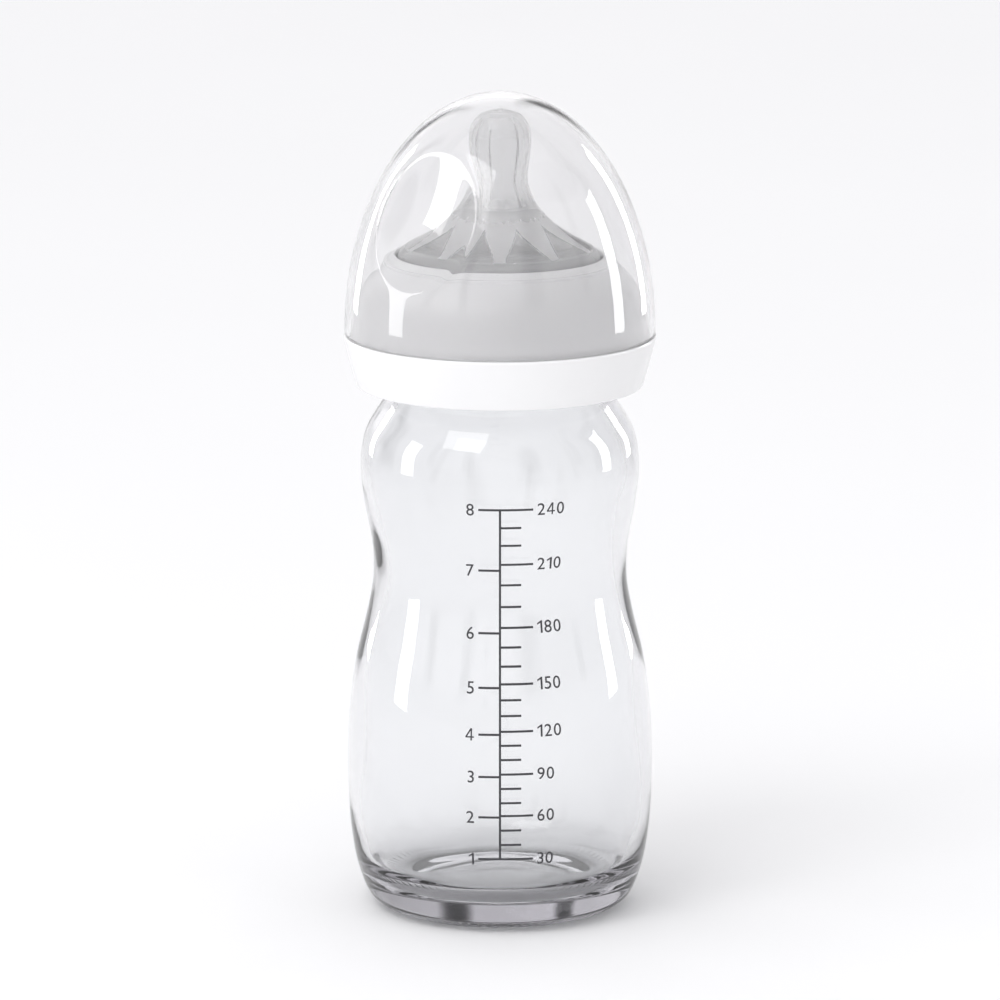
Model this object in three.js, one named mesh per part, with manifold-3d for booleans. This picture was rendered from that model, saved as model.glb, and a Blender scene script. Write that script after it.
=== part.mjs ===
// Wide-neck glass feeding bottle: vessel, printed graduation, silicone teat, screw collar and dome cap,
// standing assembled on its base. Millimetres, +Z up, origin at the centre of the base on the surface it
// stands on. The graduation faces -Y.
import * as THREE from "three";
import { mergeVertices } from "three/addons/utils/BufferGeometryUtils.js";
import Module from "manifold-3d";

const wasm = await Module();
wasm.setup();

// ---------------------------------------------------------------- driving dimensions (mm)
const SEGMENTS = 30; // round the axis of the rigid pieces: a multiple of the thread starts
const TEAT_SEGMENTS = 30;
const STEP = (2 * Math.PI) / SEGMENTS;

// vessel: outside of the glass, [radius, height] from the edge of the standing ring to the neck
const GLASS_OUTSIDE = [
  [25.6, 0.0], [29.4, 2.3], [32.2, 8.5], [33.9, 17.5], [34.65, 31.0], [34.4, 43.0], [32.7, 57.0],
  [30.1, 68.0], [28.75, 76.0], [28.9, 83.5], [30.6, 93.0], [31.5, 102.0], [30.4, 109.5], [27.4, 115.0],
  [24.4, 119.4],
];
// inside of the glass, from the middle of the floor to the bore of the neck
const GLASS_INSIDE = [
  [23.0, 7.0], [28.6, 10.8], [30.7, 17.5], [31.6, 31.0], [31.35, 43.0], [29.65, 57.0],
  [27.05, 68.0], [25.7, 76.0], [25.85, 83.5], [27.5, 93.0], [28.4, 101.0], [26.9, 108.6], [23.6, 114.2],
  [20.7, 119.6],
];
const STANDING_RING_INNER = 21.8;
const PUNT_HEIGHT = 1.9; // hollow under the base
const FLOOR_MIDDLE = 6.0; // top of the glass floor on the axis
const NECK_ROOT = 24.2; // outside radius of the neck between the threads
const NECK_BORE = 20.6;
const LIP_TOP = 145.0;

// multi-start screw thread shared by neck and collar
const STARTS = 3;
const THREAD_PITCH = 3.2; // ridge to ridge
const LEAD = STARTS * THREAD_PITCH; // rise per turn, 9.6
const NECK_CREST = 25.85;
const NECK_THREAD_FROM = 126.8;
const NECK_THREAD_TURN = 1.2; // turns per ridge
const RIDGE_ROOT_WIDTH = 1.7;
const RIDGE_CREST_WIDTH = 0.7;

// teat
const TEAT_FLANGE_BOTTOM = LIP_TOP + 0.3;
const TEAT_FLANGE_TOP = TEAT_FLANGE_BOTTOM + 2.9;
const TEAT_FLANGE_RADIUS = 25.3;
const TEAT_TIP = 182.8;
const TEAT_HOLE = 0.55;

// collar
const COLLAR_TOP = 149.9;
const COLLAR_BOTTOM = 120.2;
const COLLAR_OPENING = 23.1;
const COLLAR_RADIUS = 35.2; // widest, at the ledge that carries the cap
const COLLAR_LEDGE = 131.9;
const SLEEVE_OUTSIDE = 28.4;
const SLEEVE_ROOT = 26.4;
const SLEEVE_CREST = 24.6;
const SLEEVE_BOTTOM = 121.4;
const COLLAR_THREAD_TURN = 1.0;
const COLLAR_THREAD_PHASE = -16 * STEP;
// half a pitch away from the ridges of the neck, so that each ridge sits in the other's groove
const COLLAR_THREAD_FROM = NECK_THREAD_FROM + THREAD_PITCH / 2 + (LEAD * COLLAR_THREAD_PHASE) / (2 * Math.PI);

// cap
const CAP_RIM = COLLAR_LEDGE + 0.3;
const CAP_RADIUS = 35.1;
const CAP_HEIGHT = 54.6;
const CAP_WALL = 1.5;
const DIMPLE_DIAMETER = 29;
const DIMPLE_HEIGHT = 30; // centre above the rim
const DIMPLE_SINK = 2.2; // below the flat circle across its edge
const DIMPLE_AZIMUTH = (-128 * Math.PI) / 180; // about +Z from +X

// graduation
const PRINT_GAP = 0.3; // clear of the glass
const PRINT_THICK = 0.22;
const PRINT_LINE = 0.5;
const ML_LONG = 7.2, ML_SHORT = 4.5, OZ_TICK = 4.6;
const ML_PER_OZ = 29.574;

// ---------------------------------------------------------------- shape helpers
const merged = (geometry) => {
  const g = geometry.index ? geometry.clone() : mergeVertices(geometry.clone());
  g.deleteAttribute("normal");
  if (g.attributes.uv) g.deleteAttribute("uv");
  return mergeVertices(g, 1e-4);
};
const solid = (geometry) => {
  const g = merged(geometry);
  return new wasm.Manifold(new wasm.Mesh({
    numProp: 3,
    vertProperties: new Float32Array(g.attributes.position.array),
    triVerts: new Uint32Array(g.index.array),
  }));
};
const geometryOf = (manifold) => {
  const mesh = manifold.getMesh();
  const g = new THREE.BufferGeometry();
  g.setAttribute("position", new THREE.BufferAttribute(Float32Array.from(mesh.vertProperties), 3));
  g.setIndex(new THREE.BufferAttribute(Uint32Array.from(mesh.triVerts), 1));
  g.computeVertexNormals();
  return g;
};
// A closed [radius, height] outline, anticlockwise with radius to the right, turned about +Z.
const turned = (outline, segments = SEGMENTS) => {
  const points = outline.map(([r, z]) => new THREE.Vector2(r, z));
  if (outline[0][0] > 0 || outline.at(-1)[0] > 0) points.push(points[0].clone());
  const g = new THREE.LatheGeometry(points, segments);
  g.rotateX(Math.PI / 2);
  return g;
};
// A helical ridge: a straight bar of trapezoid section, wound round the axis. Its steps match the flats of
// the turned pieces, and its buried side is sunk half a millimetre for a clean join.
const ridge = ({ root, crest, from, turns, start }) => {
  const sunk = root - Math.sign(crest - root) * 0.5;
  const slope = (RIDGE_ROOT_WIDTH - RIDGE_CREST_WIDTH) / 2 / Math.abs(crest - root);
  const w0 = RIDGE_ROOT_WIDTH / 2 + 0.5 * slope, w1 = RIDGE_CREST_WIDTH / 2;
  const section = new THREE.Shape([
    new THREE.Vector2(0, -w0), new THREE.Vector2(1, -w1), new THREE.Vector2(1, w1), new THREE.Vector2(0, w0),
  ]);
  const steps = Math.round(turns * SEGMENTS);
  const g = new THREE.ExtrudeGeometry(section, { depth: steps, steps, bevelEnabled: false });
  const p = g.attributes.position;
  for (let i = 0; i < p.count; i++) {
    const along = Math.round(p.getZ(i));
    const runOut = Math.min(1, 0.1 + 0.45 * Math.min(along, steps - along)); // fades out at both ends
    const r = p.getX(i) > 0.5 ? root + (crest - root) * runOut : sunk;
    const angle = start + along * STEP;
    p.setXYZ(i, r * Math.cos(angle), r * Math.sin(angle), from + (LEAD * along) / SEGMENTS + p.getY(i));
  }
  return windsOut(merged(g)) ? g : flipped(g);
};
const windsOut = (g) => {
  const p = g.attributes.position, ix = g.index.array;
  let v = 0;
  for (let i = 0; i < ix.length; i += 3) {
    const [a, b, c] = [ix[i], ix[i + 1], ix[i + 2]].map((k) => new THREE.Vector3().fromBufferAttribute(p, k));
    v += a.dot(b.cross(c));
  }
  return v > 0;
};
const flipped = (geometry) => {
  const g = merged(geometry);
  const ix = g.index.array;
  for (let i = 0; i < ix.length; i += 3) [ix[i + 1], ix[i + 2]] = [ix[i + 2], ix[i + 1]];
  return g;
};
const threads = (base, options) => {
  let out = base;
  for (let k = 0; k < STARTS; k++) {
    out = out.add(solid(ridge({ ...options, start: options.phase + (k * 2 * Math.PI) / STARTS })));
  }
  return out;
};
const node = (name, geometry, colour, roughness, extra = {}) => {
  const material = new THREE.MeshStandardMaterial({ color: colour, roughness, metalness: 0, ...extra });
  const mesh = new THREE.Mesh(geometry, material);
  mesh.name = name;
  return mesh;
};
// ---------------------------------------------------------------- vessel
const vesselOutline = [
  [0, PUNT_HEIGHT], [16, PUNT_HEIGHT - 0.5], [STANDING_RING_INNER, 0],
  ...GLASS_OUTSIDE,
  [NECK_ROOT, 121.2], [NECK_ROOT, 143.6], [NECK_ROOT - 1.2, LIP_TOP],
  [NECK_BORE + 0.8, LIP_TOP], [NECK_BORE, 144.2],
  ...GLASS_INSIDE.slice().reverse(),
  [0, FLOOR_MIDDLE],
];
const vessel = threads(solid(turned(vesselOutline)), {
  root: NECK_ROOT, crest: NECK_CREST, from: NECK_THREAD_FROM, turns: NECK_THREAD_TURN, phase: 0,
});

// ---------------------------------------------------------------- graduation
// Heights of the marks come from the volume of the inside, filled from the floor.
const cavity = [[0, FLOOR_MIDDLE], ...GLASS_INSIDE, [NECK_BORE, LIP_TOP]];
const heightOf = (millilitres) => {
  let filled = 0;
  for (let i = 1; i < cavity.length; i++) {
    const [r0, z0] = cavity[i - 1], [r1, z1] = cavity[i];
    const pieces = 40;
    for (let k = 0; k < pieces; k++) {
      const t = (k + 0.5) / pieces, r = r0 + (r1 - r0) * t, dz = (z1 - z0) / pieces;
      filled += (Math.PI * r * r * dz) / 1000;
      if (filled >= millilitres) return z0 + (z1 - z0) * t;
    }
  }
  return LIP_TOP;
};
// The comb seen from the front, in the x, z plane: a vertical line with ticks to both sides.
const first = heightOf(30), last = heightOf(240);
const ticks = [];
for (let ml = 30; ml <= 240; ml += 10) ticks.push({ z: heightOf(ml), side: 1, length: ml % 30 ? ML_SHORT : ML_LONG });
for (let oz = 1; oz <= 8; oz++) {
  const z = oz === 1 ? first : oz === 8 ? last : heightOf(oz * ML_PER_OZ);
  ticks.push({ z, side: -1, length: OZ_TICK });
}
const half = PRINT_LINE / 2;
const comb = new THREE.Shape();
const right = ticks.filter((t) => t.side > 0).sort((a, b) => a.z - b.z);
const left = ticks.filter((t) => t.side < 0).sort((a, b) => b.z - a.z);
comb.moveTo(-half, first - half);
for (const t of right) {
  comb.lineTo(half, t.z - half);
  comb.lineTo(half + t.length, t.z - half);
  comb.lineTo(half + t.length, t.z + half);
  comb.lineTo(half, t.z + half);
}
for (const t of left) {
  comb.lineTo(-half, t.z + half);
  comb.lineTo(-half - t.length, t.z + half);
  comb.lineTo(-half - t.length, t.z - half);
  comb.lineTo(-half, t.z - half);
}
const prism = new THREE.ExtrudeGeometry(comb, { depth: 20, bevelEnabled: false });
prism.rotateX(Math.PI / 2); // the shape's plane becomes x, z; the depth runs towards -Y
prism.translate(0, -20, 0);
// A thin layer that follows the outside of the glass at a small gap.
const level = (offset) => GLASS_OUTSIDE.filter(([, z]) => z > 4 && z < 115).map(([r, z], i, all) => {
  const [ra, za] = all[Math.max(0, i - 1)], [rb, zb] = all[Math.min(all.length - 1, i + 1)];
  const n = Math.hypot(zb - za, ra - rb);
  return [r + (offset * (zb - za)) / n, z + (offset * (ra - rb)) / n];
});
const layer = solid(turned([...level(PRINT_GAP), ...level(PRINT_GAP + PRINT_THICK).reverse()].reverse()));
const print = layer.intersect(solid(prism));

// ---------------------------------------------------------------- teat
const teatOutline = [
  [TEAT_HOLE, TEAT_TIP - 1.5], [3.4, TEAT_TIP - 2.4], [5.1, TEAT_TIP - 5.2],
  [5.4, TEAT_TIP - 8.4], [4.4, TEAT_TIP - 16], [4.9, TEAT_TIP - 18.6], [6.9, TEAT_TIP - 22.6],
  [11.0, TEAT_TIP - 26.9], [16.0, TEAT_TIP - 30.2], [19.6, TEAT_TIP - 32.4],
  [20.7, 148.4], [20.7, TEAT_FLANGE_BOTTOM],
  [TEAT_FLANGE_RADIUS, TEAT_FLANGE_BOTTOM], [TEAT_FLANGE_RADIUS, TEAT_FLANGE_TOP], [22.7, TEAT_FLANGE_TOP],
  [22.6, 149.7], [21.4, 151.1], [17.0, 153.6], [12.4, 156.7], [8.9, 160.3], [6.8, 164.2],
  [6.2, 167.6], [6.7, 172.0], [7.0, 175.6], [6.5, 179.0], [4.6, 181.6],
  [TEAT_HOLE, TEAT_TIP],
];
const teat = solid(turned(teatOutline, TEAT_SEGMENTS));

// ---------------------------------------------------------------- collar
const collarOutline = [
  // outside, from the lower edge up to the opening
  [32.3, COLLAR_BOTTOM], [33.9, 126.2], [COLLAR_RADIUS, COLLAR_LEDGE - 0.5],
  [COLLAR_RADIUS - 0.3, COLLAR_LEDGE], [33.25, COLLAR_LEDGE], [32.9, 137.2], [31.4, 142.2],
  [28.6, 145.9], [COLLAR_OPENING + 0.8, COLLAR_TOP], [COLLAR_OPENING, COLLAR_TOP - 0.5],
  // rim that holds the flange, then the threaded sleeve down
  [COLLAR_OPENING, TEAT_FLANGE_TOP + 0.3], [SLEEVE_ROOT, TEAT_FLANGE_TOP + 0.3],
  [SLEEVE_ROOT, SLEEVE_BOTTOM], [SLEEVE_OUTSIDE, SLEEVE_BOTTOM],
  // hollow between the sleeve and the shell
  [SLEEVE_OUTSIDE, 142.0], [29.5, 142.0], [31.2, 137.0], [31.5, 131.6], [32.2, 126.4], [30.7, COLLAR_BOTTOM],
];
const collar = threads(solid(turned(collarOutline)), {
  root: SLEEVE_ROOT, crest: SLEEVE_CREST, from: COLLAR_THREAD_FROM, turns: COLLAR_THREAD_TURN,
  phase: COLLAR_THREAD_PHASE,
});

// ---------------------------------------------------------------- cap
const egg = (a, b, base, count) => {
  const line = [];
  for (let i = 0; i <= count; i++) {
    const t = (i / count) * (Math.PI / 2);
    line.push([i === count ? 0 : a * Math.cos(t), base + b * Math.sin(t)]);
  }
  return line;
};
const capOuter = solid(turned([[0, CAP_RIM], ...egg(CAP_RADIUS, CAP_HEIGHT, CAP_RIM, 9)]));
const capInner = solid(turned([
  [0, CAP_RIM - 3], [CAP_RADIUS - CAP_WALL, CAP_RIM - 3],
  ...egg(CAP_RADIUS - CAP_WALL, CAP_HEIGHT - CAP_WALL, CAP_RIM, 9),
]));
const dimple = (radius, segments) => {
  // a ball segment pressed in from the side, along the outward direction of the egg at that height
  const a = CAP_RADIUS, b = CAP_HEIGHT;
  const r = a * Math.sqrt(1 - (DIMPLE_HEIGHT / b) ** 2);
  const n = new THREE.Vector2(r / a ** 2, DIMPLE_HEIGHT / b ** 2).normalize();
  const chord = (DIMPLE_DIAMETER / 2) ** 2 / 78; // how far the egg falls away across the dimple
  const ball = ((DIMPLE_DIAMETER / 2) ** 2 + DIMPLE_SINK ** 2) / (2 * DIMPLE_SINK);
  const out = ball - chord - DIMPLE_SINK;
  const R = ball + radius;
  const reach = 23;
  const profile = [[0, -R]];
  for (let i = 1; i <= 5; i++) {
    const t = (i / 5) * Math.asin(reach / R);
    profile.push([R * Math.sin(t), -R * Math.cos(t)]);
  }
  profile.push([reach, -R + 20], [0, -R + 20]);
  const g = turned(profile, segments);
  g.rotateY(Math.PI / 2 - Math.atan2(n.y, n.x));
  g.translate(r + n.x * out, 0, CAP_RIM + DIMPLE_HEIGHT + n.y * out);
  g.rotateZ(DIMPLE_AZIMUTH);
  return solid(g);
};
const cap = capOuter.subtract(dimple(0, 24)).subtract(capInner.subtract(dimple(CAP_WALL, 24)));

// ---------------------------------------------------------------- assembly
const bottle = new THREE.Group();
bottle.add(
  node("bottle_body", geometryOf(vessel), 0xeef1f3, 0.03, { transparent: true, opacity: 0.35 }),
  node("scale_print", geometryOf(print), 0x35363a, 0.5),
  node("teat", geometryOf(teat), 0xf1f1f2, 0.18, { transparent: true, opacity: 0.5 }),
  node("screw_collar", geometryOf(collar), 0xf7f7f8, 0.22),
  node("dome_cap", geometryOf(cap), 0xf2f2f5, 0.12, { transparent: true, opacity: 0.35 }),
);

export default bottle;
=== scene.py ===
import math

import bmesh
import bpy
import numpy as np
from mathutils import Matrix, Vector


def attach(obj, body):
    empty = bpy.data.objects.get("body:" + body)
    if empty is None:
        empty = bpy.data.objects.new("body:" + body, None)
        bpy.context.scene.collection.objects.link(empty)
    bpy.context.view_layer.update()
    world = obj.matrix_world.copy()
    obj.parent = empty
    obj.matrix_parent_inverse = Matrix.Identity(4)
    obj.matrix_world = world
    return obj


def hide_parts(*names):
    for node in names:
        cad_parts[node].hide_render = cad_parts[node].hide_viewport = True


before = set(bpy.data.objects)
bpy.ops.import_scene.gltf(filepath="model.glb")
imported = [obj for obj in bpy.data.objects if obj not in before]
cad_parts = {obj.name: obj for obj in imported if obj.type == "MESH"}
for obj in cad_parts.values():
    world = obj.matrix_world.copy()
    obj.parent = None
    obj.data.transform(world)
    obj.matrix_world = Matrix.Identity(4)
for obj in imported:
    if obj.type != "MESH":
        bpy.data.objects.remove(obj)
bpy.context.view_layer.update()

scene = bpy.context.scene
MM = 0.001
TAU = 2 * math.pi

# ------------------------------------------------------------------ camera
AIM = Vector((0.0, 0.0, 0.0934))
AZIMUTH, ELEVATION, DISTANCE = math.radians(0), math.radians(12), 1.76
back = Vector((
    math.sin(AZIMUTH) * math.cos(ELEVATION),
    -math.cos(AZIMUTH) * math.cos(ELEVATION),
    math.sin(ELEVATION),
))
camera = bpy.data.objects.new("camera", bpy.data.cameras.new("camera"))
scene.collection.objects.link(camera)
camera.data.lens = 280
camera.data.sensor_width = 36
camera.location = AIM + back * DISTANCE
camera.rotation_mode = "QUATERNION"
camera.rotation_quaternion = (-back).to_track_quat("-Z", "Y")
camera.data.clip_start, camera.data.clip_end = 0.01, 60
scene.camera = camera

scene.view_settings.view_transform = "Standard"
scene.view_settings.look = "None"
scene.cycles.max_bounces = 28
scene.cycles.transmission_bounces = 28
scene.cycles.glossy_bounces = 8
scene.cycles.diffuse_bounces = 4
scene.cycles.sample_clamp_indirect = 6


# ------------------------------------------------------------------ light
def lamp(name, azimuth, elevation, distance, width, height, power, diffuse=True, colour=(1, 1, 1)):
    data = bpy.data.lights.new(name, "AREA")
    data.shape = "RECTANGLE"
    data.size, data.size_y = width, height
    data.energy = power
    data.color = colour
    o = bpy.data.objects.new(name, data)
    scene.collection.objects.link(o)
    a, e = math.radians(azimuth), math.radians(elevation)
    out = Vector((math.sin(a) * math.cos(e), -math.cos(a) * math.cos(e), math.sin(e)))
    o.location = AIM + out * distance
    o.rotation_mode = "QUATERNION"
    o.rotation_quaternion = (-out).to_track_quat("-Z", "Y")
    o.visible_camera = False
    o.visible_transmission = diffuse
    o.visible_diffuse = diffuse
    return o


lamp("strip_front_right", 98, 6, 1.1, 0.20, 1.0, 6.0, False)
lamp("strip_front_left", -82, 10, 1.1, 0.26, 0.8, 4.5, False)
lamp("strip_back_right", 134, 4, 1.1, 0.16, 1.0, 5.0, False)
lamp("strip_back_left", -134, 4, 1.1, 0.16, 1.0, 4.5, False)
lamp("soft_top", -38, 50, 1.5, 0.8, 0.8, 5.6)

world = bpy.data.worlds.new("studio")
scene.world = world
world.use_nodes = True
wt = world.node_tree
wt.nodes.clear()


def wnode(kind, **values):
    n = wt.nodes.new(kind)
    for k, v in values.items():
        setattr(n, k, v)
    return n


w_out = wnode("ShaderNodeOutputWorld")
w_back = wnode("ShaderNodeBackground")
w_coord = wnode("ShaderNodeTexCoord")
w_split = wnode("ShaderNodeSeparateXYZ")
wt.links.new(w_coord.outputs["Generated"], w_split.inputs[0])
w_up = wnode("ShaderNodeValToRGB")
ramp = w_up.color_ramp
ramp.interpolation = "EASE"
ramp.elements[0].position, ramp.elements[0].color = 0.0, (1.0, 1.0, 1.015, 1)
ramp.elements[1].position, ramp.elements[1].color = 1.0, (1.04, 1.04, 1.055, 1)
for at, grey in ((0.16, 1.0), (0.5, 0.99)):
    e = ramp.elements.new(at)
    e.color = (grey, grey * 0.994, grey * 1.008, 1)
wt.links.new(w_split.outputs["Z"], w_up.inputs[0])
w_az = wnode("ShaderNodeMath", operation="ARCTAN2")
wt.links.new(w_split.outputs["Y"], w_az.inputs[0])
wt.links.new(w_split.outputs["X"], w_az.inputs[1])
w_eight = wnode("ShaderNodeMath", operation="MULTIPLY")
w_eight.inputs[1].default_value = 8
wt.links.new(w_az.outputs[0], w_eight.inputs[0])
w_three = wnode("ShaderNodeMath", operation="MULTIPLY_ADD")
w_three.inputs[1].default_value, w_three.inputs[2].default_value = 3, 0.7
wt.links.new(w_az.outputs[0], w_three.inputs[0])
w_sway = wnode("ShaderNodeMath", operation="SINE")
wt.links.new(w_three.outputs[0], w_sway.inputs[0])
w_spread = wnode("ShaderNodeMath", operation="MULTIPLY_ADD")  # the flags are unevenly spaced
w_spread.inputs[1].default_value = 1.3
wt.links.new(w_sway.outputs[0], w_spread.inputs[0])
wt.links.new(w_eight.outputs[0], w_spread.inputs[2])
w_cos = wnode("ShaderNodeMath", operation="COSINE")
wt.links.new(w_spread.outputs[0], w_cos.inputs[0])
w_flag = wnode("ShaderNodeMapRange", interpolation_type="SMOOTHSTEP")
w_flag.inputs["From Min"].default_value = -0.58
w_flag.inputs["From Max"].default_value = -1.0
w_flag.inputs["To Min"].default_value = 1.0
w_flag.inputs["To Max"].default_value = 0.06
wt.links.new(w_cos.outputs[0], w_flag.inputs["Value"])
w_high = wnode("ShaderNodeMapRange", interpolation_type="SMOOTHSTEP")
w_high.inputs["From Min"].default_value = 0.80
w_high.inputs["From Max"].default_value = 0.55
w_high.inputs["To Min"].default_value = 0.0
w_high.inputs["To Max"].default_value = 1.0
wt.links.new(w_split.outputs["Z"], w_high.inputs["Value"])
w_mixf = wnode("ShaderNodeMix", data_type="FLOAT")
w_mixf.inputs["A"].default_value = 1.0
wt.links.new(w_high.outputs[0], w_mixf.inputs["Factor"])
wt.links.new(w_flag.outputs[0], w_mixf.inputs["B"])
w_side = wnode("ShaderNodeMapRange", interpolation_type="SMOOTHSTEP")  # the room is darker on the right
w_side.inputs["From Min"].default_value = 0.10
w_side.inputs["From Max"].default_value = 0.95
w_side.inputs["To Min"].default_value = 1.13
w_side.inputs["To Max"].default_value = 0.66
wt.links.new(w_split.outputs["X"], w_side.inputs["Value"])
w_strength = wnode("ShaderNodeMath", operation="MULTIPLY")
wt.links.new(w_side.outputs[0], w_strength.inputs[1])
wt.links.new(w_mixf.outputs[0], w_strength.inputs[0])
wt.links.new(w_up.outputs[0], w_back.inputs["Color"])
w_rise = wnode("ShaderNodeMapRange", interpolation_type="SMOOTHSTEP")  # the horizon is as bright as the floor
w_rise.inputs["From Min"].default_value = 0.02
w_rise.inputs["From Max"].default_value = 0.15
w_low = wnode("ShaderNodeMix", data_type="FLOAT")
w_low.inputs["A"].default_value = 0.893
wt.links.new(w_split.outputs["Z"], w_rise.inputs["Value"])
wt.links.new(w_rise.outputs[0], w_low.inputs["Factor"])
wt.links.new(w_strength.outputs[0], w_low.inputs["B"])
wt.links.new(w_low.outputs[0], w_back.inputs["Strength"])
wt.links.new(w_back.outputs[0], w_out.inputs["Surface"])


# ------------------------------------------------------------------ mesh code
def mesh_object(name, verts, faces4, faces3=None, attributes=None):
    """A smooth-shaded mesh object from points in millimetres."""
    me = bpy.data.meshes.new(name)
    verts = np.asarray(verts, float).reshape(-1, 3) * MM
    faces4 = np.asarray(faces4, np.int32).reshape(-1, 4)
    faces3 = np.asarray([] if faces3 is None else faces3, np.int32).reshape(-1, 3)
    me.vertices.add(len(verts))
    me.vertices.foreach_set("co", verts.astype(np.float32).ravel())
    me.loops.add(faces4.size + faces3.size)
    me.loops.foreach_set("vertex_index", np.r_[faces4.ravel(), faces3.ravel()].astype(np.int32))
    me.polygons.add(len(faces4) + len(faces3))
    starts = np.r_[np.arange(len(faces4)) * 4, faces4.size + np.arange(len(faces3)) * 3]
    me.polygons.foreach_set("loop_start", starts.astype(np.int32))
    me.polygons.foreach_set("use_smooth", np.ones(len(starts), bool))
    me.update(calc_edges=True)
    me.validate()
    for key, values in (attributes or {}).items():
        a = me.attributes.new(key, "FLOAT", "POINT")
        a.data.foreach_set("value", np.asarray(values, np.float32).ravel())
    o = bpy.data.objects.new(name, me)
    scene.collection.objects.link(o)
    return o


def spline(points, step=0.2):
    """A centripetal Catmull-Rom curve through [radius, height] points."""
    p = np.asarray(points, float)
    p = np.vstack([2 * p[0] - p[1], p, 2 * p[-1] - p[-2]])
    out = []
    for i in range(1, len(p) - 2):
        a, b, c, d = p[i - 1], p[i], p[i + 1], p[i + 2]
        t0 = 0.0
        t1 = t0 + np.linalg.norm(b - a) ** 0.5
        t2 = t1 + np.linalg.norm(c - b) ** 0.5
        t3 = t2 + np.linalg.norm(d - c) ** 0.5
        n = max(2, int(np.linalg.norm(c - b) / step))
        t = np.linspace(t1, t2, n, endpoint=False)[:, None]
        a1 = (t1 - t) / (t1 - t0) * a + (t - t0) / (t1 - t0) * b
        a2 = (t2 - t) / (t2 - t1) * b + (t - t1) / (t2 - t1) * c
        a3 = (t3 - t) / (t3 - t2) * c + (t - t2) / (t3 - t2) * d
        b1 = (t2 - t) / (t2 - t0) * a1 + (t - t0) / (t2 - t0) * a2
        b2 = (t3 - t) / (t3 - t1) * a2 + (t - t1) / (t3 - t1) * a3
        out.append((t2 - t) / (t2 - t1) * b1 + (t - t1) / (t2 - t1) * b2)
    out.append(p[-2][None])
    return np.vstack(out)


def along(p):
    return np.r_[0, np.cumsum(np.linalg.norm(np.diff(p, axis=0), axis=1))]


def evenly(p, step):
    s = along(p)
    t = np.linspace(0, s[-1], max(3, int(round(s[-1] / step)) + 1))
    return np.c_[np.interp(t, s, p[:, 0]), np.interp(t, s, p[:, 1])]


def soften(points, sigma, closed):
    """Rounds every corner of an outline. An open one starts and ends on the axis, and is mirrored there."""
    step = 0.05
    p = np.vstack([np.asarray(q, float).reshape(-1, 2) for q in points])
    if closed:
        p = np.vstack([p, p[:1]])
    keep = np.r_[True, np.linalg.norm(np.diff(p, axis=0), axis=1) > 1e-6]
    p = evenly(p[keep], step)
    k = int(4 * sigma / step)
    x = np.arange(-k, k + 1) * step
    g = np.exp(-(x**2) / (2 * sigma**2))
    g /= g.sum()
    if closed:
        q = p[:-1]
        ext = np.vstack([q[-k:], q, q[:k]])
    else:
        mirror = np.array([-1, 1])
        ext = np.vstack([p[1 : k + 1][::-1] * mirror, p, p[-k - 1 : -1][::-1] * mirror])
    out = np.c_[np.convolve(ext[:, 0], g, "valid"), np.convolve(ext[:, 1], g, "valid")]
    if closed:
        out = np.vstack([out, out[:1]])
    return out


def rows(p, coarse, turn, fine=None):
    """Picks rows along a dense outline: at most coarse mm and turn degrees apart, closer where fine says."""
    d = np.diff(p, axis=0)
    length = np.linalg.norm(d, axis=1)
    angle = np.unwrap(np.arctan2(d[:, 1], d[:, 0]))
    bend = np.abs(np.gradient(angle))
    middle = (p[1:] + p[:-1]) / 2
    h = np.full(len(d), float(coarse))
    if fine is not None:
        h = np.minimum(h, fine(middle[:, 0], middle[:, 1]))
    weight = length / h + bend / math.radians(turn)
    s = np.r_[0, np.cumsum(weight)]
    n = int(math.ceil(s[-1]))
    t = np.linspace(0, s[-1], n + 1)
    q = np.c_[np.interp(t, s, p[:, 0]), np.interp(t, s, p[:, 1])]
    closed = np.linalg.norm(p[0] - p[-1]) < 1e-6
    if closed:
        q = q[:-1]
        ahead, behind = np.roll(q, -1, axis=0), np.roll(q, 1, axis=0)
    else:
        flip = np.array([-1, 1])
        ahead = np.vstack([q[1:], q[-2:-1] * flip])
        behind = np.vstack([q[1:2] * flip, q[:-1]])
    tangent = ahead - behind
    tangent /= np.linalg.norm(tangent, axis=1)[:, None]
    normal = np.c_[tangent[:, 1], -tangent[:, 0]]
    return q, normal, closed


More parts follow.
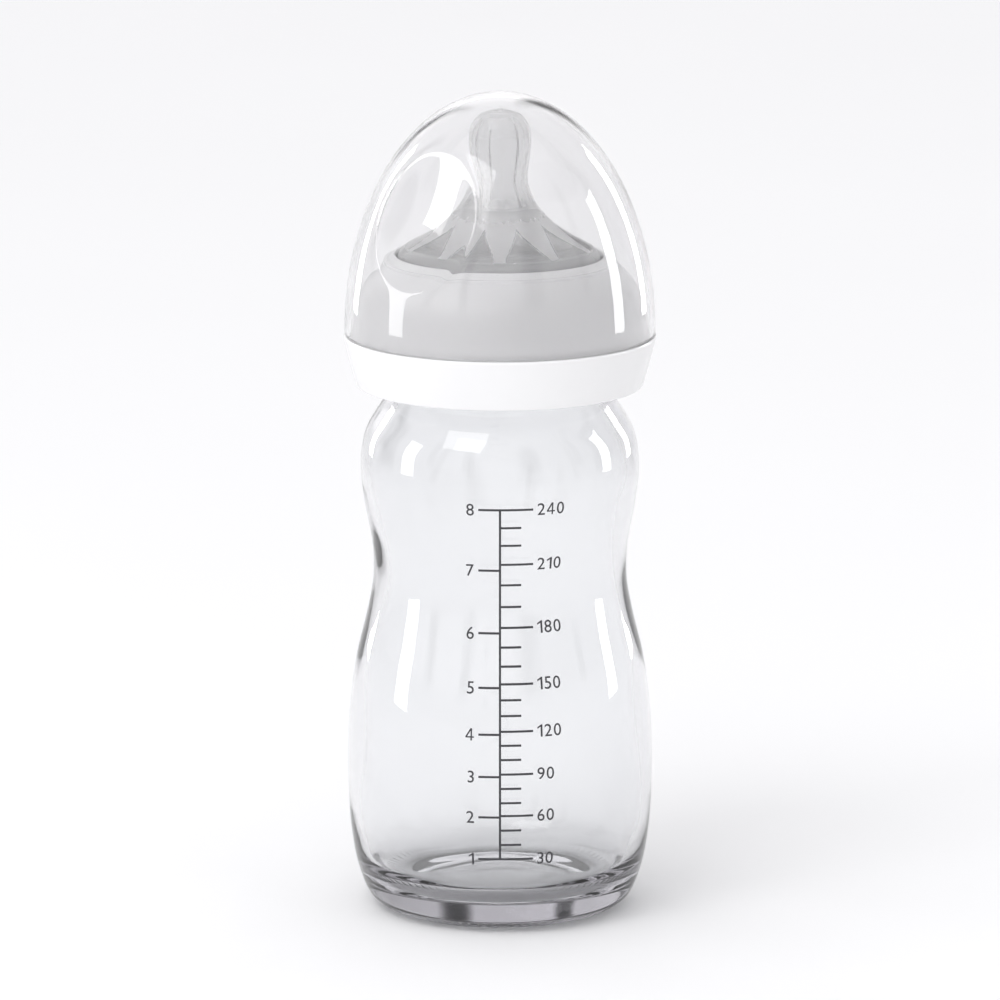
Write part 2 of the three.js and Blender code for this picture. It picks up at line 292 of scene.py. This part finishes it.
def lathe(name, q, normal, closed, phi, lift=None, attributes=None, moved=None):
    """Turns an outline about the axis, with lift mm along its normal at each row and column."""
    n, m = len(q), len(phi)
    r = np.repeat(q[:, :1], m, axis=1)
    z = np.repeat(q[:, 1:], m, axis=1)
    if lift is not None:
        r = r + normal[:, :1] * lift
        z = z + normal[:, 1:] * lift
    p = np.stack([r * np.cos(phi)[None], r * np.sin(phi)[None], z], axis=2)
    if moved is not None:
        p = p + moved
    i, j = np.arange(n if closed else n - 1), np.arange(m)
    a = (i[:, None] * m + j[None]).ravel()
    b = (i[:, None] * m + (j[None] + 1) % m).ravel()
    i2 = (i + 1) % n
    c = (i2[:, None] * m + (j[None] + 1) % m).ravel()
    d = (i2[:, None] * m + j[None]).ravel()
    quads = np.c_[a, b, c, d]
    verts = p.reshape(-1, 3)
    data = {k: np.asarray(v, float).reshape(-1).copy() for k, v in (attributes or {}).items()}
    if closed:
        return mesh_object(name, verts, quads, None, data)
    # both ends are on the axis: their rings of equal points become one point each
    inner = quads[(quads[:, 0] >= m) & (quads[:, 3] < (n - 1) * m)]
    first, last = 0, 1 + (n - 2) * m
    index = np.full(n * m, -1)
    index[:m] = first
    index[m : (n - 1) * m] = 1 + np.arange((n - 2) * m)
    index[(n - 1) * m :] = last
    body = index[inner]
    ring = index[m : 2 * m]
    fan_a = np.c_[np.full(m, first), np.roll(ring, -1), ring]
    ring = index[(n - 2) * m : (n - 1) * m]
    fan_b = np.c_[np.full(m, last), ring, np.roll(ring, -1)]
    verts = np.vstack([p[0].mean(0)[None], p[1:-1].reshape(-1, 3), p[-1].mean(0)[None]])
    for k, v in data.items():
        data[k] = np.r_[v[:1], v[m : (n - 1) * m], v[-1:]]
    return mesh_object(name, verts, body, np.vstack([fan_a, fan_b]), data)


def smooth(x, lo, hi):
    t = np.clip((x - lo) / (hi - lo), 0, 1)
    return t * t * (3 - 2 * t)


def between(x, lo, hi, edge):
    return smooth(x, lo - edge, lo + edge) * (1 - smooth(x, hi - edge, hi + edge))


def even_columns(n):
    return np.arange(n) * TAU / n


STARTS, PITCH = 3, 3.2
LEAD = STARTS * PITCH
SEGMENTS = 30
STEP = TAU / SEGMENTS


def ridges(phi, z, first_height, turns, phase, root_half, crest_half):
    """0 in the groove to 1 on the crest of a three-start thread, fading out at both ends."""
    out = np.zeros_like(z)
    for k in range(STARTS):
        base = np.mod((phi[None] - phase) / TAU - k / STARTS, 1.0)
        for wrap in range(3):
            t = base + wrap
            d = np.abs(z - (first_height + LEAD * t))
            run_out = smooth(t, 0, 2.2 / SEGMENTS) * (1 - smooth(t, turns - 2.2 / SEGMENTS, turns))
            run_out = np.where((t >= 0) & (t <= turns), run_out, 0)
            out = np.maximum(out, (1 - smooth(d, crest_half, root_half)) * run_out)
    return out


# ------------------------------------------------------------------ node materials
class Mat:
    def __init__(self, name):
        self.m = bpy.data.materials.new(name)
        self.m.use_nodes = True
        self.t = self.m.node_tree
        self.b = self.t.nodes["Principled BSDF"]
        self.out = self.t.nodes["Material Output"]
        self.coord = self.t.nodes.new("ShaderNodeTexCoord").outputs["Object"]

    def set(self, **values):
        for k, v in values.items():
            self.b.inputs[k.replace("_", " ")].default_value = v
        return self

    def node(self, kind, inputs=None, **values):
        n = self.t.nodes.new(kind)
        for k, v in values.items():
            setattr(n, k, v)
        for k, v in (inputs or {}).items():
            if isinstance(v, bpy.types.NodeSocket):
                self.t.links.new(v, n.inputs[k])
            else:
                n.inputs[k].default_value = v
        return n

    def scaled(self, x, y, z):
        return self.node("ShaderNodeMapping", {"Vector": self.coord, "Scale": (x, y, z)}).outputs[0]

    def noise(self, scale, detail=3, rough=0.55, vector=None):
        return self.node(
            "ShaderNodeTexNoise",
            {"Vector": vector or self.coord, "Scale": scale, "Detail": detail, "Roughness": rough},
        ).outputs["Fac"]

    def remap(self, value, a, b, c, d, kind="LINEAR"):
        return self.node(
            "ShaderNodeMapRange",
            {"Value": value, "From Min": a, "From Max": b, "To Min": c, "To Max": d},
            interpolation_type=kind,
        ).outputs[0]

    def math(self, op, a, b=0.0):
        return self.node("ShaderNodeMath", {0: a, 1: b}, operation=op).outputs[0]

    def mix(self, fac, a, b):
        n = self.node("ShaderNodeMix", data_type="RGBA")
        for key, v in (("Factor", fac), ("A", a), ("B", b)):
            socket = next(s for s in n.inputs if s.name == key and s.enabled)
            if isinstance(v, bpy.types.NodeSocket):
                self.t.links.new(v, socket)
            else:
                socket.default_value = v
        return next(s for s in n.outputs if s.enabled)

    def bump(self, height, strength, distance, under=None):
        n = self.node(
            "ShaderNodeBump", {"Height": height, "Strength": strength, "Distance": distance}
        )
        if under is not None:
            self.t.links.new(under, n.inputs["Normal"])
        return n.outputs[0]

    def link(self, value, socket):
        self.t.links.new(value, self.b.inputs[socket])
        return self


def dress(o, mat, body, slot, *nodes):
    o.data.materials.clear()
    o.data.materials.append(mat.m)
    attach(o, body)
    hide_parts(*nodes)
    return o


# glass
glass = Mat("glass")
glass.set(Base_Color=(0.985, 0.992, 0.995, 1), Transmission_Weight=1.0, IOR=1.5)
glass_streaks = glass.noise(38, 2, 0.5, glass.scaled(1, 1, 0.35))
glass.link(glass.remap(glass.noise(900, 2), 0.35, 0.75, 0.0, 0.018), "Roughness")
glass.link(glass.bump(glass_streaks, 0.10, 0.0010), "Normal")
absorb = glass.node("ShaderNodeVolumeAbsorption", {"Color": (0.52, 0.505, 0.54, 1), "Density": 32.0})
glass.t.links.new(absorb.outputs[0], glass.out.inputs["Volume"])

# printed enamel
ink = Mat("printed_enamel")
ink_speck = ink.noise(2600, 3, 0.6)
ink.link(
    ink.mix(ink.remap(ink_speck, 0.45, 0.75, 0.0, 1.0), (0.036, 0.036, 0.041, 1), (0.070, 0.070, 0.078, 1)),
    "Base Color",
)
ink.link(ink.remap(ink.noise(1200, 2), 0.3, 0.7, 0.32, 0.55), "Roughness")
ink.link(ink.bump(ink_speck, 0.25, 0.00003), "Normal")

# collar: glossy moulded polypropylene
pp = Mat("collar_plastic")
pp.set(
    IOR=1.49,
)
pp_cloud = pp.noise(55, 3, 0.5)
pp.link(
    pp.mix(pp.remap(pp_cloud, 0.3, 0.7, 0, 1), (0.902, 0.901, 0.908, 1), (0.924, 0.924, 0.927, 1)),
    "Base Color",
)
pp.link(pp.remap(pp.noise(48, 4, 0.6), 0.3, 0.7, 0.225, 0.265), "Roughness")
pp_fine = pp.bump(pp.noise(1800, 2, 0.6), 0.03, 0.00002)
pp.link(pp.bump(pp.noise(70, 2, 0.5), 0.06, 0.0006, pp_fine), "Normal")

# silicone teat
silicone = Mat("silicone")
silicone.set(IOR=1.41)
frost = silicone.node("ShaderNodeAttribute", attribute_name="frost").outputs["Fac"]
silicone.link(
    silicone.mix(silicone.remap(silicone.noise(140, 3), 0.3, 0.7, 0, 1), (0.985, 0.985, 0.988, 1), (1.0, 1.0, 1.0, 1)),
    "Base Color",
)
silicone.link(silicone.remap(frost, 0, 1, 0.955, 0.50), "Transmission Weight")
silicone_rough = silicone.math(
    "ADD", silicone.remap(frost, 0, 1, 0.04, 0.30), silicone.remap(silicone.noise(900, 3), 0.3, 0.7, 0.0, 0.05)
)
silicone.link(silicone_rough, "Roughness")
silicone.link(
    silicone.bump(silicone.noise(1500, 3, 0.6), silicone.remap(frost, 0, 1, 0.05, 0.35), 0.00005), "Normal"
)

# cap: clear polypropylene with a milky veil
veil = Mat("cap_plastic")
veil.set(IOR=1.45, Transmission_Weight=0.962)
veil_depth = veil.node("ShaderNodeVolumeAbsorption", {"Color": (0.62, 0.60, 0.64, 1), "Density": 30.0})
veil.t.links.new(veil_depth.outputs[0], veil.out.inputs["Volume"])
veil.link(
    veil.mix(veil.remap(veil.noise(45, 3), 0.3, 0.7, 0, 1), (0.985, 0.983, 0.988, 1), (1.0, 1.0, 1.0, 1)),
    "Base Color",
)
veil.link(veil.remap(veil.noise(90, 4, 0.6), 0.3, 0.7, 0.02, 0.055), "Roughness")
veil.link(veil.bump(veil.noise(60, 2), 0.08, 0.0008), "Normal")

# ------------------------------------------------------------------ glass bottle
GLASS_OUTSIDE = [
    [25.6, 0.0], [29.4, 2.3], [32.2, 8.5], [33.9, 17.5], [34.65, 31.0], [34.4, 43.0], [32.7, 57.0],
    [30.1, 68.0], [28.75, 76.0], [28.9, 83.5], [30.6, 93.0], [31.5, 102.0], [30.4, 109.5], [27.4, 115.0],
    [24.4, 119.4],
]
GLASS_INSIDE = [
    [23.0, 7.0], [28.6, 10.8], [30.7, 17.5], [31.6, 31.0], [31.35, 43.0], [29.65, 57.0],
    [27.05, 68.0], [25.7, 76.0], [25.85, 83.5], [27.5, 93.0], [28.4, 101.0], [26.9, 108.6], [23.6, 114.2],
    [20.7, 119.6],
]
outside = spline(GLASS_OUTSIDE)
inside = spline([[12.0, 6.15]] + GLASS_INSIDE)
glass_line = soften(
    [
        [[0, 1.9]], spline([[4, 1.88], [16, 1.4], [20.4, 0.35]]), [[21.8, 0], [24.6, 0]],
        outside[2:],
        [[24.2, 121.2], [24.2, 143.4], [23.4, 144.8], [22.6, 145.0], [22.0, 145.0], [20.9, 144.6], [20.6, 143.8]],
        inside[::-1], [[0, 6.0]],
    ],
    0.55, closed=False,
)


def glass_rows(r, z):
    thread = (z > 124.2) & (z < 141.5) & (r > 22.5)
    base = (z < 3.2) & (r > 25.5) & (r < 30.2)
    return np.where(thread, 0.24, np.where(base, 0.28, 9.0))


GLASS_COLUMNS = even_columns(252)
q, normal, closed = rows(glass_line, 2.0, 5.0, glass_rows)
phi = GLASS_COLUMNS
Z = np.repeat(q[:, 1:], len(phi), axis=1)
R = np.repeat(q[:, :1], len(phi), axis=1)
top_row = int(np.argmax(q[:, 1]))
is_inside = (np.arange(len(q)) > top_row)[:, None]
lift = ridges(phi, Z, 126.8, 1.2, 0.0, 0.95, 0.22) * 1.65 * (~is_inside) * (R > 22.5)
# the blown inside is a little uneven
wave = (
    0.10 * np.sin(3 * phi[None] + Z / 13 + 0.4)
    + 0.08 * np.sin(5 * phi[None] - Z / 9 + 1.3)
    + 0.05 * np.sin(9 * phi[None] + Z / 6 + 2.1)
)
lift += is_inside * wave * between(Z, 9, 116, 3) * smooth(R, 8, 20)
# ring of small knurls pressed into the heel
knurl = (1 + np.cos(84 * phi))[None] / 2
lift -= 0.30 * knurl**2 * between(Z, 0.7, 2.0, 0.35) * (R > 25.5) * (~is_inside)
bottle = dress(
    lathe("glass_bottle", q, normal, closed, phi, lift), glass, "bottle", "glass", "bottle_body"
)

# ------------------------------------------------------------------ printed scale
ML_PER_OZ = 29.574
cavity = [[0, 6.0], *GLASS_INSIDE, [20.6, 145.0]]


def height_of(millilitres):
    filled = 0.0
    for (r0, z0), (r1, z1) in zip(cavity, cavity[1:]):
        for k in range(40):
            t = (k + 0.5) / 40
            r = r0 + (r1 - r0) * t
            filled += math.pi * r * r * (z1 - z0) / 40 / 1000
            if filled >= millilitres:
                return z0 + (z1 - z0) * t
    return 145.0


wall = evenly(glass_line, 0.1)
wall = wall[(wall[:, 0] > 26) & (wall[:, 1] > 12) & (wall[:, 1] < 113)]
wall = wall[: int(np.argmax(wall[:, 1])) + 1]


def radius_at(z):
    return np.interp(z, wall[:, 1], wall[:, 0])


INK_LOW, INK_HIGH = 0.02, 0.075
ink_verts, ink_quads, ink_tris = [], [], []
ink_count = 0


def on_glass(x, z, off, reference):
    """x mm round the glass at the reference height, z mm up, off mm clear of it."""
    r = radius_at(z) + off
    a = x / radius_at(reference) - math.pi / 2
    return np.stack([r * np.cos(a), r * np.sin(a), z], axis=-1)


def plate(xs, zs):
    """A thin closed bar that follows the glass."""
    global ink_count
    xs, zs = np.asarray(xs, float), np.asarray(zs, float)
    X, Zz = np.meshgrid(xs, zs, indexing="ij")
    reference = float(zs.mean()) if len(zs) < 6 else None
    ref = Zz if reference is None else np.full_like(Zz, reference)
    low, high = on_glass(X, Zz, INK_LOW, ref), on_glass(X, Zz, INK_HIGH, ref)
    nx, nz = X.shape
    ids = np.arange(nx * nz).reshape(nx, nz)
    L, H = ids + ink_count, ids + ink_count + nx * nz
    ink_verts.append(low.reshape(-1, 3))
    ink_verts.append(high.reshape(-1, 3))
    q = [np.c_[H[:-1, :-1].ravel(), H[1:, :-1].ravel(), H[1:, 1:].ravel(), H[:-1, 1:].ravel()]]
    q.append(np.c_[L[:-1, :-1].ravel(), L[:-1, 1:].ravel(), L[1:, 1:].ravel(), L[1:, :-1].ravel()])
    edge = np.r_[ids[:-1, 0], ids[-1, :-1], ids[1:, -1][::-1], ids[0, 1:][::-1]]
    nxt = np.roll(edge, -1)
    q.append(np.c_[edge + ink_count, nxt + ink_count, nxt + ink_count + nx * nz, edge + ink_count + nx * nz])
    ink_quads.append(np.vstack(q))
    ink_count += 2 * nx * nz


LINE = 0.50
FIRST, LAST = height_of(30), height_of(240)
plate([-LINE / 2, 0, LINE / 2], np.linspace(FIRST - LINE / 2, LAST + LINE / 2, 60))
labels = []
for ml in range(30, 241, 10):
    z, long = height_of(ml), ml % 30 == 0
    length = 7.2 if long else 4.5
    plate(np.linspace(LINE / 2, LINE / 2 + length, 8), [z - LINE / 2, z, z + LINE / 2])
    if long:
        labels.append((str(ml), LINE / 2 + length + 1.0, z, "left"))
for oz in range(1, 9):
    z = FIRST if oz == 1 else LAST if oz == 8 else height_of(oz * ML_PER_OZ)
    plate(np.linspace(-LINE / 2 - 4.6, -LINE / 2, 6), [z - LINE / 2, z, z + LINE / 2])
    labels.append((str(oz), -LINE / 2 - 4.6 - 1.0, z, "right"))


def extruded(bm, outline):
    """Adds a flat outline as a thin closed slab."""
    old = len(bm.faces)
    face = bm.faces.new([bm.verts.new((x, y, -0.01)) for x, y in outline])
    lid = bmesh.ops.extrude_face_region(bm, geom=[face])
    bmesh.ops.translate(bm, verts=[g for g in lid["geom"] if isinstance(g, bmesh.types.BMVert)], vec=(0, 0, 0.02))
    if len(bm.faces) - old < len(outline) + 2:
        bm.faces.new([v for v in face.verts][::-1])


DRAWN = {
    "1": [[(0.21, 0), (0.325, 0), (0.325, 0.72), (0.255, 0.72), (0.02, 0.575), (0.02, 0.475), (0.21, 0.585)]],
    "4": [
        [(0.300, 0), (0.388, 0), (0.388, 0.72), (0.300, 0.72)],
        [(0, 0.165), (0.50, 0.165), (0.50, 0.245), (0, 0.245)],
        [(0, 0.2449), (0.105, 0.2449), (0.387, 0.7199), (0.285, 0.7199)],
    ],
}


def digit(char):
    """One digit as points and triangles, 0.72 high on its baseline."""
    if char in DRAWN:
        bm = bmesh.new()
        for outline in DRAWN[char]:
            extruded(bm, outline)
    else:
        curve = bpy.data.curves.new("digit", "FONT")
        curve.body, curve.size, curve.extrude = char, 1.0, 0.01
        curve.offset = 0.003
        curve.resolution_u = 6
        o = bpy.data.objects.new("digit", curve)
        scene.collection.objects.link(o)
        me = bpy.data.meshes.new_from_object(o.evaluated_get(bpy.context.evaluated_depsgraph_get()))
        bpy.data.objects.remove(o)
        bpy.data.curves.remove(curve)
        bm = bmesh.new()
        bm.from_mesh(me)
        bpy.data.meshes.remove(me)
    bmesh.ops.remove_doubles(bm, verts=bm.verts[:], dist=1e-5)
    bmesh.ops.triangulate(bm, faces=bm.faces[:])
    bmesh.ops.recalc_face_normals(bm, faces=bm.faces[:])
    bm.verts.index_update()
    v = np.array([p.co[:] for p in bm.verts])
    t = np.array([[p.index for p in f.verts] for f in bm.faces])
    bm.free()
    low, high = v.min(0), v.max(0)
    v[:, 0] -= low[0]
    v[:, 1] = (v[:, 1] - (low[1] + high[1]) / 2) / (high[1] - low[1])
    v[:, 0] /= high[1] - low[1]
    return v, t


DIGITS = {c: digit(c) for c in "0123456789"}


def numeral(text, x, z, side, height=2.75):
    """Digits set side by side and bent on to the glass."""
    global ink_count
    gap = 0.17 * height
    widths = [DIGITS[c][0][:, 0].max() * height for c in text]
    if side == "right":
        x -= sum(widths) + gap * (len(text) - 1)
    for c, width in zip(text, widths):
        v, t = DIGITS[c]
        w = v[:, 1] * height + z
        off = INK_LOW + 0.012 + (v[:, 2] > 0) * (INK_HIGH - INK_LOW)
        ink_verts.append(on_glass(v[:, 0] * height + x, w, off, np.full_like(w, z)))
        ink_tris.append(t + ink_count)
        ink_count += len(v)
        x += width + gap


for text, x, z, side in labels:
    numeral(text, x, z, side)
scale = mesh_object("ink_scale", np.vstack(ink_verts), np.vstack(ink_quads), np.vstack(ink_tris))
scale.data.polygons.foreach_set("use_smooth", np.zeros(len(scale.data.polygons), bool))
dress(scale, ink, "bottle", "printed_enamel", "scale_print")

# ------------------------------------------------------------------ collar
collar_line = soften(
    [
        [[31.6, 120.2]], spline([[32.3, 120.35], [33.9, 126.2], [35.2, 131.3]]), [[35.2, 131.75], [34.9, 131.9]],
        [[33.25, 131.9]],
        spline([[33.25, 132.0], [32.9, 137.2], [31.4, 142.2], [28.6, 145.9], [24.3, 149.4]]),
        [[23.9, 149.75], [23.4, 149.8], [23.1, 149.4], [23.1, 148.5], [26.4, 148.5]],
        [[26.4, 122.0], [26.9, 121.4], [27.9, 121.4], [28.4, 122.0]],
        [[28.4, 142.0], [29.5, 142.0]],
        spline([[29.6, 141.9], [31.2, 137.0], [31.5, 131.6], [32.2, 126.4], [30.8, 120.4]]),
        [[31.0, 120.2]],
    ],
    0.22, closed=True,
)


def collar_rows(r, z):
    return np.where((r < 26.9) & (z > 121.5) & (z < 135.8), 0.24, 9.0)


q, normal, closed = rows(collar_line, 1.6, 6.0, collar_rows)
phi = even_columns(240)
Z = np.repeat(q[:, 1:], len(phi), axis=1)
R = np.repeat(q[:, :1], len(phi), axis=1)
phase = -16 * STEP
from_height = 126.8 + PITCH / 2 + LEAD * phase / TAU
lift = ridges(phi, Z, from_height, 1.0, phase, 0.95, 0.22) * 1.8 * (R < 26.9) * (R > 25.5) * (Z < 140)
collar = dress(
    lathe("collar_shell", q, normal, closed, phi, lift), pp, "collar", "collar_plastic", "screw_collar"
)

# ------------------------------------------------------------------ teat
T = 182.8
teat_line = soften(
    [
        spline([
            [0.62, T - 1.5], [3.4, T - 2.4], [5.1, T - 5.2], [5.4, T - 8.4], [4.4, T - 16], [4.9, T - 18.6],
            [6.9, T - 22.6], [11.0, T - 26.9], [16.0, T - 30.2], [19.6, T - 32.4], [20.65, 149.2], [20.7, 147.6],
        ]),
        [[20.7, 145.3], [25.3, 145.3], [25.3, 148.2], [22.7, 148.2]],
        spline([
            [22.7, 148.6], [22.6, 149.7], [21.4, 151.1], [17.0, 153.6], [12.4, 156.7], [8.9, 160.3], [6.8, 164.2],
            [6.2, 167.6], [6.7, 172.0], [7.0, 175.6], [6.5, 179.0], [4.6, 181.6], [2.6, 182.5], [0.62, 182.78],
        ]),
    ],
    0.16, closed=True,
)


def teat_rows(r, z):
    tip = (z > 180.9) & (r < 5.2)
    return np.where(tip, 0.16, np.where(z > 158, 0.45, np.where(z > 148.5, 0.4, 9.0)))


q, normal, closed = rows(teat_line, 1.2, 7.0, teat_rows)
phi = even_columns(240)
Z = np.repeat(q[:, 1:], len(phi), axis=1)
R = np.repeat(q[:, :1], len(phi), axis=1)
lowest = int(np.argmin(q[:, 1] + 0.001 * q[:, 0]))
is_inside = (np.arange(len(q)) < lowest)[:, None]
rib = ((1 + np.cos(9 * phi)) / 2)[None] ** 3
lift = is_inside * 0.42 * rib * between(Z, 158.5, 179.6, 1.6)
lift += is_inside * 0.07 * np.cos(TAU * Z / 1.5) * between(Z, 165, 178, 1.5)
petals = 10
turn = np.abs(np.mod(phi / TAU * petals + 0.5, 1.0) - 0.5)[None] * 2  # 0 in the middle of a petal, 1 between
reach = 0.84 * (1 - smooth(Z, 150.6, 157.6)) ** 0.7  # a petal narrows upwards to a point
petal = (1 - smooth(turn - reach, -0.07, 0.07)) * between(Z, 151.6, 157.4, 0.35)
lift -= is_inside * 0.28 * petal
outer_tip = (~is_inside) * (Z > 181.0)
for radius, width, deep in ((1.55, 0.22, 0.07), (2.5, 0.24, 0.09), (3.5, 0.26, 0.07)):
    lift -= outer_tip * deep * np.exp(-(((R - radius) / width) ** 2))
frosted = smooth(Z, 150.7, 151.7) * (1 - 0.75 * smooth(Z, 156.5, 163.5)) * (1 - 0.66 * petal)
frosted = np.maximum(frosted, 0.55 * between(Z, 148.4, 151.4, 0.4))
teat = dress(
    lathe("teat_skin", q, normal, closed, phi, lift, {"frost": frosted}),
    silicone, "nipple", "silicone", "teat",
)

# ------------------------------------------------------------------ cap
CAP_RIM, A, B, WALL = 132.2, 35.1, 54.6, 1.5
t = np.linspace(0, math.pi / 2, 700)
outer = np.c_[A * np.cos(t), CAP_RIM + B * np.sin(t)]
inner = np.c_[(A - WALL) * np.cos(t), CAP_RIM + (B - WALL) * np.sin(t)]
outer[-1, 0] = inner[-1, 0] = 0
cap_line = soften([inner[::-1], [[A - 1.1, CAP_RIM], [A - 0.4, CAP_RIM]], outer], 0.24, closed=False)


def cap_rows(r, z):
    return np.where((z > CAP_RIM + 13.5) & (z < CAP_RIM + 46.5), 0.42, 9.0)


q, normal, closed = rows(cap_line, 1.5, 6.0, cap_rows)
DIMPLE = math.radians(-128)
ease = np.linspace(0, TAU, 20001)
dense = 1 + 2.6 * between(np.abs(ease - math.pi), -1, 0.56, 0.10)  # closer columns across the dimple
cum = np.r_[0, np.cumsum((dense[1:] + dense[:-1]) / 2)]
phi = np.interp(np.linspace(0, cum[-1], 321)[:-1], cum, ease) - math.pi + DIMPLE
r0 = A * math.sqrt(1 - (30 / B) ** 2)
n0 = np.array([r0 / A**2, 30 / B**2])
n0 /= np.linalg.norm(n0)
chord, sink = 14.5**2 / 78, 2.2
ball = (14.5**2 + sink**2) / (2 * sink)
out = ball - chord - sink
centre = np.array([
    (r0 + n0[0] * out) * math.cos(DIMPLE), (r0 + n0[0] * out) * math.sin(DIMPLE), CAP_RIM + 30 + n0[1] * out,
])
is_outer = (np.arange(len(q)) > int(np.argmin(q[:, 1])))[:, None, None]
cos, sin = np.cos(phi)[None], np.sin(phi)[None]
P = np.stack([q[:, :1] * cos, q[:, :1] * sin, np.repeat(q[:, 1:], len(phi), axis=1)], axis=2)
N = np.stack([normal[:, :1] * cos, normal[:, :1] * sin, np.repeat(normal[:, 1:], len(phi), axis=1)], axis=2)
inward = np.where(is_outer, -N, N)
v = P - centre
R_ball = np.where(is_outer[..., 0], ball, ball + WALL)
vd = (v * inward).sum(2)
under = vd**2 - (v**2).sum(2) + R_ball**2
near = (under > 0) & (vd > 0) & ((v**2).sum(2) < (R_ball + 9) ** 2)
depth = np.where(near, -vd + np.sqrt(np.maximum(under, 0)), -40.0)
k = 0.85
depth = (depth + np.sqrt(depth**2 + k**2)) / 2
depth = np.where(depth > 0.004, depth - 0.004, 0) * smooth(P[..., 2], CAP_RIM + 6, CAP_RIM + 11)
cap = dress(
    lathe("cap_shell", q, normal, closed, phi, None, None, inward * depth[..., None]),
    veil, "cap", "cap_plastic", "dome_cap",
)

# ------------------------------------------------------------------ floor
floor = bpy.data.objects.new("floor", bpy.data.meshes.new("floor"))
bm = bmesh.new()
bmesh.ops.create_circle(bm, cap_ends=True, cap_tris=False, segments=96, radius=14)
bm.to_mesh(floor.data)
bm.free()
scene.collection.objects.link(floor)
floor.location.z = -0.0002
ground = Mat("floor")
ground.set(Specular_IOR_Level=0.0)
ground.link(
    ground.mix(ground.remap(ground.noise(3, 2), 0.3, 0.7, 0, 1), (0.915, 0.915, 0.92, 1), (0.925, 0.925, 0.93, 1)),
    "Base Color",
)
ground.link(ground.remap(ground.noise(400, 2), 0.3, 0.7, 0.9, 1.0), "Roughness")
floor.data.materials.append(ground.m)

# ------------------------------------------------------------------ finish
bpy.context.view_layer.update()
